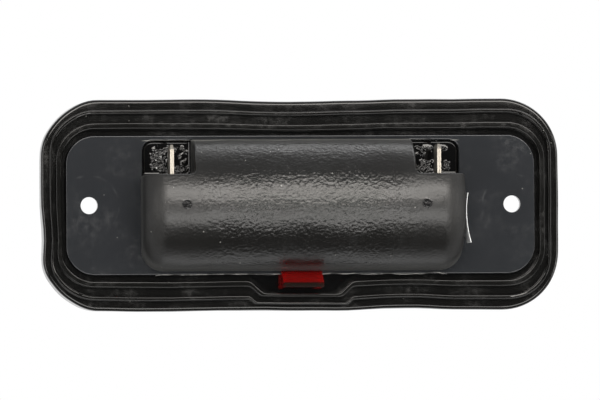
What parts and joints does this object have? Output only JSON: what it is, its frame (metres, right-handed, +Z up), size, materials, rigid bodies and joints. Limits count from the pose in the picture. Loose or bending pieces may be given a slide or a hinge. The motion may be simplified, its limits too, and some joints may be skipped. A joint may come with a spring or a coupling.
{
  "type": "position lamp",
  "caption": "Rear position lamp: red lens, ribbed rubber gasket, and a black housing with a half-round bulb hood, push-on terminals and a festoon bulb.",
  "frame": {"origin": "midway between the screw holes, on the rear face of the housing plate", "axes": "+X along the lamp, +Z up as mounted, +Y rearwards into the vehicle's panel, so that the lens faces -Y"},
  "size_m": [0.1102, 0.031, 0.045],
  "materials": {
    "black_plastic": "polished plate, finely pebbled hood",
    "black_rubber": "moulded, semi-matt",
    "red_lens": "clear red, polished",
    "tinned_brass": "tinned",
    "bulb_glass": "clear",
    "nickel_cap": "nickel plated",
    "tungsten": "drawn wire",
    "white_paper": "blank, matt"
  },
  "bodies": {
    "root": {"housing": "black_plastic", "gasket": "black_rubber", "lens": "red_lens", "contact_left": "tinned_brass", "contact_right": "tinned_brass", "bulb_glass": "bulb_glass", "bulb_cap_left": "nickel_cap", "bulb_cap_right": "nickel_cap", "bulb_filament": "tungsten", "label": "white_paper"}
  },
  "joints": []
}
